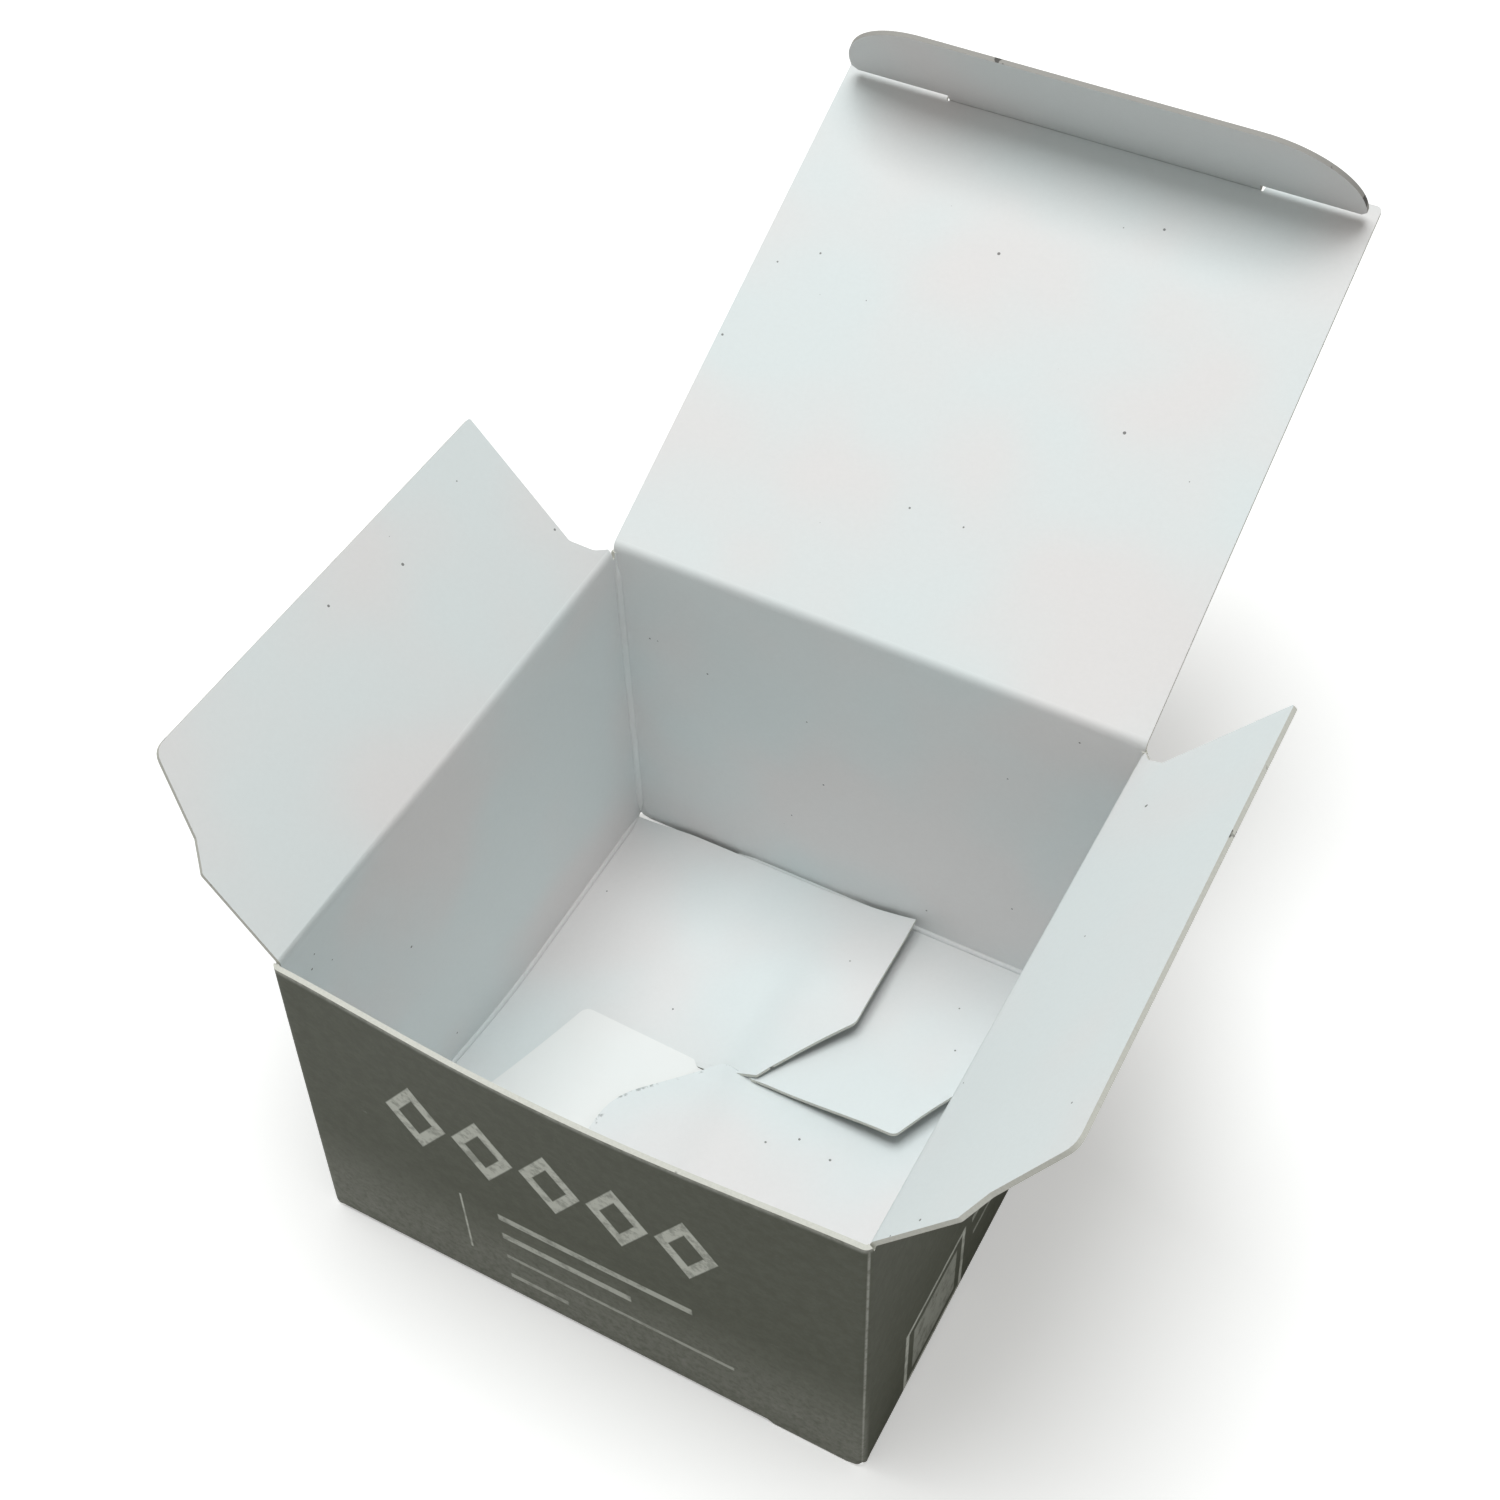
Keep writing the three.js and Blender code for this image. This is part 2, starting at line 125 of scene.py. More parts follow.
# Camera
CAMERA_PLACE = Vector((57.39, -94.39, 184.62)) * MM
CAMERA_TURN = 30.14
CAMERA_DIP = 50.24
CAMERA_ROLL = -2.15
LENS = 54.49
SENSOR = 36


def add_camera():
    """A camera turned about Z, dipped below level and rolled about its own line of sight."""
    data = bpy.data.cameras.new("camera")
    data.lens = LENS
    data.sensor_width = SENSOR
    camera = bpy.data.objects.new("camera", data)
    bpy.context.collection.objects.link(camera)
    turn = Matrix.Rotation(math.radians(CAMERA_TURN), 4, "Z")
    dip = Matrix.Rotation(math.radians(90 - CAMERA_DIP), 4, "X")
    roll = Matrix.Rotation(math.radians(CAMERA_ROLL), 4, "Z")
    camera.matrix_world = Matrix.Translation(CAMERA_PLACE) @ turn @ dip @ roll
    bpy.context.scene.camera = camera


# Colours of the board, among them a white of painted light and a grey of painted shade
def screen(red, green, blue):
    """The linear colour of screen values from 0 to 255."""
    share = np.array([red, green, blue]) / 255
    linear = np.where(share <= 0.04045, share / 12.92, ((share + 0.055) / 1.055) ** 2.4)
    return (*linear.tolist(), 1.0)


COOL_WHITE = screen(228, 235, 236)
WARM_WHITE = screen(234, 231, 231)
# White of painted light
PAINTED_LIGHT_WHITE = screen(250, 249, 247)
GRAIN_GREY = screen(160, 160, 155)
# Grey of painted shade
PAINTED_SHADE_GREY = screen(140, 136, 134)
SPECK = screen(58, 56, 54)
PRINT = screen(61, 64, 45)
PRINT_PALE = screen(71, 74, 57)
INK = screen(192, 194, 184)
FIBRE = screen(222, 222, 214)
FIBRE_DARK = screen(196, 196, 188)


# Shader nodes
class Nodes:
    """Short calls that add and join the nodes of one material, group or surround."""

    def __init__(self, tree):
        self.tree = tree

    def feed(self, socket, value):
        """Joins an output to the socket, or sets the socket's own value."""
        if isinstance(value, bpy.types.NodeSocket):
            self.tree.links.new(value, socket)
        else:
            socket.default_value = value

    def add(self, kind, *values, **settings):
        """A node with its settings, and its first inputs fed in order."""
        node = self.tree.nodes.new(kind)
        for name, value in settings.items():
            setattr(node, name, value)
        for socket, value in zip(node.inputs, values):
            self.feed(socket, value)
        return node

    def math(self, operation, *values):
        """The result of one math node."""
        return self.add("ShaderNodeMath", *values, operation=operation).outputs[0]

    def product(self, *values):
        """All values multiplied."""
        result = values[0]
        for value in values[1:]:
            result = self.math("MULTIPLY", result, value)
        return result

    def largest(self, *values):
        """The largest of the values."""
        result = values[0]
        for value in values[1:]:
            result = self.math("MAXIMUM", result, value)
        return result

    def step(self, value, low, high):
        """0 below low, 1 above high and smooth between; low may be the larger one."""
        if low > high:
            return self.math("SUBTRACT", 1.0, self.step(value, high, low))
        node = self.add("ShaderNodeMapRange", value, low, high, interpolation_type="SMOOTHSTEP")
        return node.outputs[0]

    def mix(self, share, first, second):
        """A colour: first at share 0, second at share 1."""
        node = self.add("ShaderNodeMix", data_type="RGBA")
        self.feed(node.inputs[0], share)
        self.feed(node.inputs[6], first)
        self.feed(node.inputs[7], second)
        return node.outputs[2]

    def noise(self, vector, scale, detail, roughness=0.55):
        """Soft noise about 0.5; its scale is per metre, so at 1000 its forms are about 1 mm across."""
        node = self.add("ShaderNodeTexNoise")
        self.feed(node.inputs["Vector"], vector)
        node.inputs["Scale"].default_value = scale
        node.inputs["Detail"].default_value = detail
        node.inputs["Roughness"].default_value = roughness
        return node.outputs[0]

    def axes(self, vector):
        """The three parts of a vector."""
        return self.add("ShaderNodeSeparateXYZ", vector).outputs[:]

    def group(self, tree, **inputs):
        """A node of a shared group, with its inputs fed by name; spaces are written as underscores."""
        node = self.add("ShaderNodeGroup", node_tree=tree)
        for name, value in inputs.items():
            self.feed(node.inputs[name.replace("_", " ")], value)
        return node


# Surround, floor and light, in metres
WORLD_COLOR = (1.0, 0.99, 0.95, 1)
WORLD_STRENGTH = 0.37
WORLD_SEEN = 0.92
FLOOR_REACH = 1.6
FLOOR_DROP = 0.05 * MM
FLOOR_WHITE = (0.97, 0.97, 0.97, 1)
GLOW_NEAR = 0.33
GLOW_MORE = 0.25
GLOW_START = 0.15
GLOW_END = 0.9
SOFT_BOX_PLACE = (-0.05, 0.03, 0.52)
SOFT_BOX_AIM = (0, 0.02, 0.03)
SOFT_BOX_SIZE = 0.30
SOFT_BOX_ENERGY = 1.80
SOFT_BOX_COLOR = (0.97, 1.0, 1.0)


def add_world():
    """A weak white surround, which the camera itself sees paler."""
    world = bpy.data.worlds.new("surround")
    world.use_nodes = True
    background = world.node_tree.nodes["Background"]
    background.inputs["Color"].default_value = WORLD_COLOR
    n = Nodes(world.node_tree)
    seen = n.add("ShaderNodeLightPath").outputs["Is Camera Ray"]
    strength = n.math("MULTIPLY_ADD", seen, WORLD_SEEN - WORLD_STRENGTH, WORLD_STRENGTH)
    n.feed(background.inputs["Strength"], strength)
    bpy.context.scene.world = world


def add_floor():
    """A pale floor with a faint glow of its own, seen by the camera alone, which grows with the distance."""
    mesh = bpy.data.meshes.new("floor")
    corners = [(x * FLOOR_REACH, y * FLOOR_REACH, 0) for x, y in ((-1, -1), (1, -1), (1, 1), (-1, 1))]
    mesh.from_pydata(corners, [], [(0, 1, 2, 3)])
    floor = bpy.data.objects.new("floor", mesh)
    floor.location.z = -FLOOR_DROP
    bpy.context.collection.objects.link(floor)
    material = bpy.data.materials.new("pale_floor")
    material.use_nodes = True
    n = Nodes(material.node_tree)
    shader = material.node_tree.nodes["Principled BSDF"]
    shader.inputs["Base Color"].default_value = FLOOR_WHITE
    shader.inputs["Roughness"].default_value = 0.9
    shader.inputs["Emission Color"].default_value = (1, 1, 1, 1)
    place = n.add("ShaderNodeTexCoord").outputs["Object"]
    away = n.add("ShaderNodeVectorMath", place, operation="LENGTH").outputs["Value"]
    glow = n.math("MULTIPLY_ADD", n.step(away, GLOW_START, GLOW_END), GLOW_MORE, GLOW_NEAR)
    seen = n.add("ShaderNodeLightPath").outputs["Is Camera Ray"]
    n.feed(shader.inputs["Emission Strength"], n.product(glow, seen))
    mesh.materials.append(material)


def add_soft_box():
    """A square area light above the carton, facing it."""
    data = bpy.data.lights.new("soft_box", "AREA")
    data.shape = "SQUARE"
    data.size = SOFT_BOX_SIZE
    data.energy = SOFT_BOX_ENERGY
    data.color = SOFT_BOX_COLOR
    lamp = bpy.data.objects.new("soft_box", data)
    bpy.context.collection.objects.link(lamp)
    lamp.location = SOFT_BOX_PLACE
    aim = Vector(SOFT_BOX_AIM) - Vector(SOFT_BOX_PLACE)
    lamp.rotation_euler = aim.to_track_quat("-Z", "Y").to_euler()


def add_stage():
    """The view transform, the surround, the floor and the soft box."""
    bpy.context.scene.view_settings.view_transform = "Standard"
    add_world()
    add_floor()
    add_soft_box()


# Shared shader groups
FLOAT = "NodeSocketFloat"
VECTOR = "NodeSocketVector"
COLOR = "NodeSocketColor"


def new_group(name, inputs, outputs):
    """A shader group with named sockets, (name, socket type) each.

    Returns the group, its nodes, the outputs of its entry and the inputs of its exit.
    """
    tree = bpy.data.node_groups.new(name, "ShaderNodeTree")
    for socket, kind in inputs:
        tree.interface.new_socket(socket, in_out="INPUT", socket_type=kind)
    for socket, kind in outputs:
        tree.interface.new_socket(socket, in_out="OUTPUT", socket_type=kind)
    nodes = Nodes(tree)
    entry = tree.nodes.new("NodeGroupInput").outputs
    leave = tree.nodes.new("NodeGroupOutput").inputs
    return tree, nodes, entry, leave


def field_group():
    """A mask that is 1 in an upright rectangle: |u - centre| and |v - centre| within their half sizes."""
    sizes = ["U", "V", "Centre U", "Centre V", "Half U", "Half V"]
    tree, n, entry, leave = new_group("flat_field", [(s, FLOAT) for s in sizes], [("Mask", FLOAT)])
    blur = 0.12 * MM
    inside = []
    for place, centre, half in (("U", "Centre U", "Half U"), ("V", "Centre V", "Half V")):
        away = n.math("ABSOLUTE", n.math("SUBTRACT", entry[place], entry[centre]))
        within = n.math("DIVIDE", n.math("SUBTRACT", entry[half], away), blur)
        inside.append(n.math("MINIMUM", n.math("MAXIMUM", within, 0.0), 1.0))
    n.feed(leave["Mask"], n.product(*inside))
    return tree


def specks_group():
    """A mask of sparse small round specks, one in some of the cells of a Voronoi pattern."""
    tree, n, entry, leave = new_group("specks", [("Vector", VECTOR), ("Scale", FLOAT)], [("Mask", FLOAT)])
    cells = n.add("ShaderNodeTexVoronoi", entry["Vector"])
    n.feed(cells.inputs["Scale"], entry["Scale"])
    chance, size, _ = n.axes(cells.outputs["Color"])
    chosen = n.math("GREATER_THAN", chance, 0.982)
    radius = n.math("MULTIPLY_ADD", size, 0.13, 0.06)
    near = n.math("LESS_THAN", cells.outputs["Distance"], radius)
    n.feed(leave["Mask"], n.product(chosen, near))
    return tree


def board_group(specks):
    """Colour, roughness and relief of the board.

    Side is 0 on its white face, 1 on its print and 0.5 on a cut edge.
    Painted shade darkens the white and the cut edges, painted light lightens the white, and Edge is how
    strongly dark flecks show beside a free edge. The wear input pales the print for real wear and, low on
    the front, for painted light.
    """
    values = ["Side", "Ink", "WearAndLight", "Shade", "Pale", "Edge"]
    inputs = [("Position", VECTOR)] + [(value, FLOAT) for value in values]
    outputs = [("Color", COLOR), ("Roughness", FLOAT), ("Height", FLOAT)]
    tree, n, entry, leave = new_group("board", inputs, outputs)
    place = entry["Position"]

    # The white face: cool and warm patches, fine grain, painted shade and painted light, specks and soiled
    # flecks
    grain = n.noise(place, 2600, 4)
    patches = n.step(n.noise(place, 38, 2), 0.38, 0.66)
    plain = n.mix(patches, COOL_WHITE, WARM_WHITE)
    plain = n.mix(n.product(grain, 0.07), plain, GRAIN_GREY)
    # Painted shade and painted light: the white greyed or whitened by the part's share, as light falls on it
    plain = n.mix(entry["Shade"], plain, PAINTED_SHADE_GREY)
    # Painted light: the white lightened by the part's share
    plain = n.mix(entry["Pale"], plain, PAINTED_LIGHT_WHITE)
    dots = n.group(specks, Vector=place, Scale=1150.0).outputs[0]
    plain = n.mix(n.product(dots, 0.75), plain, SPECK)
    soiled = n.step(n.noise(place, 1300, 4, 0.6), 0.54, 0.66)
    plain = n.mix(n.product(soiled, entry["Edge"]), plain, SPECK)

    # The print: mottled, faintly rubbed, with pale ink, and paled to the fibre where the wear input says,
    # which holds real wear and painted light low on the front
    mottle = n.step(n.noise(place, 900, 5, 0.7), 0.35, 0.7)
    ground = n.mix(mottle, PRINT, PRINT_PALE)
    rubbed = n.step(n.noise(place, 420, 6, 0.75), 0.63, 0.8)
    ground = n.mix(n.product(rubbed, 0.16), ground, FIBRE)
    inked = n.mix(n.product(entry["Ink"], n.step(mottle, -0.6, 0.6)), ground, INK)
    rough_edge = n.step(n.noise(place, 1500, 4, 0.7), 0.3, 0.62)
    patchy = n.math("MULTIPLY_ADD", rough_edge, 0.55, 0.45)
    worn_and_lit = n.mix(n.product(entry["WearAndLight"], patchy), inked, FIBRE)

    # The cut edge: layers of fibre, painted shade and a few dark nicks
    layers = n.noise(place, 5200, 3)
    cut = n.mix(layers, FIBRE_DARK, FIBRE)
    # Painted shade on the cut edges, at twice the share on the white
    cut = n.mix(n.product(entry["Shade"], 2.0), cut, PAINTED_SHADE_GREY)
    nicks = n.step(n.noise(place, 420, 3), 0.66, 0.69)
    cut = n.mix(n.product(nicks, 0.8), cut, SPECK)

    printed = n.step(entry["Side"], 0.7, 0.8)
    not_plain = n.step(entry["Side"], 0.2, 0.3)
    color = n.mix(not_plain, plain, cut)
    color = n.mix(printed, color, worn_and_lit)
    n.feed(leave["Color"], color)
    matt = n.math("MULTIPLY_ADD", not_plain, 0.12, 0.74)
    roughness = n.math("MULTIPLY_ADD", printed, -0.32, matt)
    n.feed(leave["Roughness"], n.math("MULTIPLY_ADD", grain, 0.08, roughness))
    wave = n.noise(place, 120, 2)
    n.feed(leave["Height"], n.math("MULTIPLY_ADD", wave, 3.0, grain))
    return tree


def marks_group(field):
    """Pale ink on the front and right walls: plain fields, bars, a rule and a row of open lozenges."""
    tree, n, entry, leave = new_group("pale_marks", [("Position", VECTOR)], [("Ink", FLOAT)])
    x, y, z = n.axes(entry["Position"])

    def bar(u, centre_u, centre_v, half_u, half_v):
        """A rectangle on a wall, by its centre and half sizes in mm; v is the height."""
        node = n.group(field, U=u, V=z, Centre_U=centre_u * MM, Centre_V=centre_v * MM)
        node.inputs["Half U"].default_value = half_u * MM
        node.inputs["Half V"].default_value = half_v * MM
        return node.outputs[0]

    # The row of lozenges: |u| + |v| is constant along a lozenge, so a band of it is an open one
    pitch = 6.16 * MM
    row_left = -17.2 * MM
    row_middle = 25.6 * MM
    lozenge_height = 5.3 * MM
    along_row = n.math("DIVIDE", n.math("SUBTRACT", x, row_left), pitch)
    across = n.math("SUBTRACT", n.math("FRACT", along_row), 0.5)
    up = n.math("DIVIDE", n.math("SUBTRACT", z, row_middle), lozenge_height * 2)
    spread = n.math("ADD", n.math("ABSOLUTE", across), n.math("ABSOLUTE", up))
    band = n.product(n.step(spread, 0.24, 0.27), n.step(spread, 0.47, 0.44))
    row = n.product(band, bar(x, -1.8, 25.6, 15.4, 5.6))
    front = n.largest(
        row,
        bar(x, -11.4, 10.4, 0.14, 4.9),
        n.product(bar(x, 1.2, 14.4, 9.2, 0.55), 0.8),
        n.product(bar(x, -1.8, 11.0, 6.2, 0.55), 0.8),
        n.product(bar(x, 3.0, 7.2, 11.0, 0.32), 0.6),
        n.product(bar(x, -5.2, 3.6, 2.8, 0.4), 0.7),
    )
    on_front = n.step(y, (0.5 - HALF) * MM, (0.2 - HALF) * MM)
    edge = n.math("SUBTRACT", bar(y, -12.7, 5.7, 5.8, 5.2), bar(y, -12.7, 5.7, 5.2, 4.6))
    right = n.largest(
        edge,
        n.product(bar(y, -12.7, 5.7, 4.2, 3.6), 0.55),
        n.product(bar(y, -3.0, 9.5, 2.6, 0.5), 0.7),
        n.product(bar(y, -1.5, 6.5, 3.6, 0.35), 0.6),
    )
    on_right = n.step(x, (HALF - 0.5) * MM, (HALF - 0.2) * MM)
    n.feed(leave["Ink"], n.largest(n.product(front, on_front), n.product(right, on_right)))
    return tree


def wear_and_light_group():
    """Print rubbed on the upright folds, foot, rim and low front, and painted light low on the front."""
    tree, n, entry, leave = new_group("rubbed_print_and_painted_light", [("Position", VECTOR)], [("WearAndLight", FLOAT)])
    x, y, z = n.axes(entry["Position"])
    inner = n.math("MINIMUM", n.math("ABSOLUTE", x), n.math("ABSOLUTE", y))
    folds = n.step(inner, (HALF - 0.34) * MM, (HALF - 0.22) * MM)
    foot = n.step(z, 0.5 * MM, 0.1 * MM)
    rim = n.step(z, (RIM - 0.75) * MM, (RIM - 0.15) * MM)
    patches = n.step(n.noise(entry["Position"], 260, 5, 0.7), 0.52, 0.72)
    on_front = n.step(y, (1 - HALF) * MM, (0.3 - HALF) * MM)
    low_right = n.product(n.step(z, 9 * MM, 1 * MM), n.step(x, 12 * MM, 26 * MM), on_front, patches)
    # Painted light: low on the front the print is paled towards the foot in patches, lifting the shade near
    # the floor
    haze_and_painted_light = n.math("MULTIPLY_ADD", patches, 0.05, 0.19)
    wear_and_light = n.largest(
        n.product(folds, 0.38),
        n.product(foot, 0.4),
        n.product(rim, 0.38),
        n.product(low_right, 0.35),
        n.product(n.step(z, 18 * MM, 1 * MM), on_front, haze_and_painted_light),
    )
    n.feed(leave["WearAndLight"], wear_and_light)
    return tree


def side_group():
    """Side from the way a face points: 1 along Outward, 0 against it and 0.5 across it."""
    inputs = [("Normal", VECTOR), ("Outward", VECTOR)]
    tree, n, entry, leave = new_group("side_by_facing", inputs, [("Side", FLOAT)])
    dot = n.add("ShaderNodeVectorMath", entry["Normal"], entry["Outward"], operation="DOT_PRODUCT")
    facing = dot.outputs["Value"]
    outer = n.math("GREATER_THAN", facing, 0.6)
    inner = n.math("GREATER_THAN", facing, -0.6)
    n.feed(leave["Side"], n.math("MULTIPLY_ADD", outer, 0.5, n.product(inner, 0.5)))
    return tree


FIELD = field_group()
SPECKS = specks_group()
BOARD_LOOK = board_group(SPECKS)
MARKS = marks_group(FIELD)
WEAR_AND_LIGHT = wear_and_light_group()
SIDE = side_group()


# Materials of the board
RELIEF_DEPTH = 0.012 * MM
RELIEF_STRENGTH = 0.5


def board_material(name, outward=None, walls=False, painted_shade=0.0, painted_light=0.0, soiled=0.0):
    """Printed white board. Its side comes from the way faces point, or from the piece's own side attribute.

    soiled is how dark the flecks are beside a free edge, which the attribute edge marks. The painted shade
    and painted light arguments grey or whiten the white as shade and light would.
    """
    material = bpy.data.materials.new(name)
    material.use_nodes = True
    n = Nodes(material.node_tree)
    shader = material.node_tree.nodes["Principled BSDF"]
    coordinates = n.add("ShaderNodeTexCoord")
    if outward is None:
        side = n.add("ShaderNodeAttribute", attribute_name="side").outputs["Fac"]
    else:
        side = n.group(SIDE, Normal=coordinates.outputs["Normal"], Outward=tuple(outward)).outputs[0]
    look = n.group(BOARD_LOOK, Position=coordinates.outputs["Object"], Side=side, Shade=painted_shade, Pale=painted_light)
    if walls:
        square_place = n.add("ShaderNodeAttribute", attribute_name="square_place").outputs["Vector"]
        n.feed(look.inputs["Ink"], n.group(MARKS, Position=square_place).outputs[0])
        n.feed(look.inputs["WearAndLight"], n.group(WEAR_AND_LIGHT, Position=square_place).outputs[0])
    if soiled:
        edge = n.add("ShaderNodeAttribute", attribute_name="edge").outputs["Fac"]
        n.feed(look.inputs["Edge"], n.product(n.step(edge, 0.3, 0.6), soiled))
    n.feed(shader.inputs["Base Color"], look.outputs["Color"])
    n.feed(shader.inputs["Roughness"], look.outputs["Roughness"])
    bump = n.add("ShaderNodeBump")
    bump.inputs["Strength"].default_value = RELIEF_STRENGTH
    bump.inputs["Distance"].default_value = RELIEF_DEPTH
    n.feed(bump.inputs["Height"], look.outputs["Height"])
    n.feed(shader.inputs["Normal"], bump.outputs[0])
    return material


WALL_BOARD = board_material("wall_board", walls=True)
FOLD_BOARD = board_material("fold_board")
# Painted light on the bottom flaps: each white is made whiter by its share, the front flap most
BOTTOM_BOARD = {
    "left": board_material("left_bottom_board", painted_light=0.08),
    "front": board_material("front_bottom_board", painted_light=0.62),
    "right": board_material("right_bottom_board", painted_light=0.05, soiled=0.45),
    "back": board_material("back_bottom_board", painted_light=0.1),
}


# Pieces of board
PLAIN_SIDE = 0.0
CUT_SIDE = 0.5
PRINTED_SIDE = 1.0
SHARP_ANGLE = math.radians(38)


def add_piece(name, points, faces, sides, material, body):
    """A mesh from points in mm and faces, with the side attribute of each face, riding on a body."""
    mesh = bpy.data.meshes.new(name)
    mesh.from_pydata((points * MM).tolist(), [], faces)
    work = bmesh.new()
    work.from_mesh(mesh)
    bmesh.ops.recalc_face_normals(work, faces=work.faces)
    work.to_mesh(mesh)
    work.free()
    attribute = mesh.attributes.new("side", "FLOAT", "FACE")
    attribute.data.foreach_set("value", np.asarray(sides, np.float32))
    mesh.shade_smooth()
    mesh.set_sharp_from_angle(angle=SHARP_ANGLE)
    mesh.materials.append(material)
    piece = bpy.data.objects.new(name, mesh)
    bpy.context.collection.objects.link(piece)
    if body:
        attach(piece, body)
    return piece


def quads(grid):
    """The quads between the neighbours of a grid of point numbers."""
    corners = (grid[:-1, :-1], grid[:-1, 1:], grid[1:, 1:], grid[1:, :-1])
    return np.stack(corners, -1).reshape(-1, 4)


def board_piece(name, outer, inner, material, body, slot_name, closed=False):
    """Board between two grids of points: its printed face, its plain face, and the cut edges round them.

    outer and inner are (rows, columns, 3) arrays. A closed one joins its last column to its first.
    """
    rows, columns = outer.shape[:2]
    count = rows * columns
    ids = np.arange(count).reshape(rows, columns)
    if closed:
        ids = np.hstack([ids, ids[:, :1]])

    def rim(line):
        """The quads from a line of outer points to the inner ones."""
        return np.stack((line[:-1], line[1:], line[1:] + count, line[:-1] + count), -1)

    edges = [rim(ids[0]), rim(ids[-1])]
    if not closed:
        edges += [rim(ids[:, 0]), rim(ids[:, -1])]
    faces = [quads(ids), quads(ids + count)[:, ::-1], *edges]
    sides = [PRINTED_SIDE, PLAIN_SIDE] + [CUT_SIDE] * len(edges)
    points = np.vstack([outer.reshape(-1, 3), inner.reshape(-1, 3)])
    side_values = np.concatenate([np.full(len(f), s) for f, s in zip(faces, sides)])
    return add_piece(name, points, np.vstack(faces).tolist(), side_values, material, body)


# Walls
WALL_STATIONS = 60
WALL_ROWS = 40
CORNER_STEPS = 9
SIDE_BAND = 1


def wall_path(radius, inset):
    """The carton's plan, a square with round corners, as stations of x and y.

    It is four sides of evenly spaced stations, with an arc of the corner radius after each one.
    """
    straight = HALF - CORNER_RADIUS
    across = np.linspace(-straight, straight, WALL_STATIONS)
    arc = np.linspace(0, math.pi / 2, CORNER_STEPS)[1:-1]
    along = np.concatenate([across, straight + radius * np.sin(arc)])
    out = np.concatenate([np.full(WALL_STATIONS, HALF - inset), straight + radius * np.cos(arc)])
    turns = []
    for quarter in range(4):
        angle = quarter * math.pi / 2
        x = along * math.cos(angle) + out * math.sin(angle)
        y = along * math.sin(angle) - out * math.cos(angle)
        turns.append(np.stack([x, y], -1))
    return np.vstack(turns)


def ease(points):
    """Moves points as the board has eased: the front rim bows out, its left corner leans and spreads.

    The bow is a cosine to the power BOW_POWER across the front. It and the lean grow with the square of the
    height, and the spread changes evenly from foot to rim. The lean and the spread fade away from the corner.
    """
    x, y, z = points[..., 0], points[..., 1], points[..., 2]
    high = (z / RIM) ** 2
    front = smooth_step(EASE_START, -HALF, y)
    left = smooth_step(0, -HALF, x)
    bow = FRONT_BOW * np.cos(np.clip(x / HALF, -1, 1) * math.pi / 2) ** BOW_POWER
    pull = CORNER_PULL * smooth_step(PULL_START, -HALF, x)
    spread = FOOT_SPREAD + (RIM_SPREAD - FOOT_SPREAD) * z / RIM
    eased = points.copy()
    eased[..., 0] -= spread * front * left
    eased[..., 1] += high * front * (pull - bow * (y < -HALF + FRONT_BAND))
    return eased


def wall_heights(plan):
    """Foot and rim of the wall at each station: a crease where a flap hangs on, a cut foot elsewhere.

    The foot rises by a quarter circle of radius FOOT_ROUND towards each corner.
    """
    x, y = plan[:, 0], plan[:, 1]
    free = HALF - FLAP_CORNER_GAP
    near = HALF - SIDE_BAND
    has_flap = (
        ((x < -near) & (y > -HALF + RELIEF) & (y < free))
        | ((y < -near) & (x < HALF - RELIEF) & (x > -free))
        | ((x > near) & (y < HALF - RELIEF) & (y > -free))
        | ((y > near) & (x > -HALF + BACK_RELIEF) & (x < free))
    )
    foot = np.where(has_flap, BEND_RADIUS, FOOT)
    to_corner = HALF - np.minimum(np.abs(x), np.abs(y))
    short = np.clip(FOOT_ROUND - to_corner, 0, FOOT_ROUND)
    foot = foot + FOOT_ROUND - np.sqrt(FOOT_ROUND ** 2 - short ** 2)
    top = np.where(np.abs(y) > HALF - BOARD, RIM, SIDE_RIM)
    return foot, top


def add_walls():
    """The four walls as one ring of board, with grids of its outer and inner face.

    The attribute square_place keeps each point's place before the board eased, which the print follows.
    """
    outer_plan = wall_path(CORNER_RADIUS, 0)
    inner_plan = wall_path(CORNER_RADIUS - BOARD, BOARD)
    foot, top = wall_heights(outer_plan)
    share = np.linspace(0, 1, WALL_ROWS)[:, None]
    z = foot + share * (top - foot)
    square = []
    for plan in (outer_plan, inner_plan):
        x = np.broadcast_to(plan[:, 0], z.shape)
        y = np.broadcast_to(plan[:, 1], z.shape)
        square.append(np.stack([x, y, z], -1))
    walls = board_piece("walls", *map(ease, square), WALL_BOARD, "carton", "printed_board", closed=True)
    attribute = walls.data.attributes.new("square_place", "FLOAT_VECTOR", "POINT")
    attribute.data.foreach_set("vector", (np.stack(square) * MM).astype(np.float32).ravel())
    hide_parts("carton_body")


# Bottom flaps
FLAP_COLUMNS = 90
FLAP_ROWS = 56
BEND_ROWS = 7
LEAST_REACH = 0.05
EDGE_BAND = 0.7

# How far the thin board curls or lifts above its layer, in mm
LEFT_CLEARANCE = 0.06
LEFT_CURL = 1.9
LEFT_TIP_CURL = 0.45
LEFT_BACK_CURL = 1.5
FRONT_END_LIFT = 0.12
LOBE_RISE = 0.8
LOBE_TIP_LIFT = 0.2
BACK_LIFT = 0.75
BACK_RIGHT_LIFT = 1.3


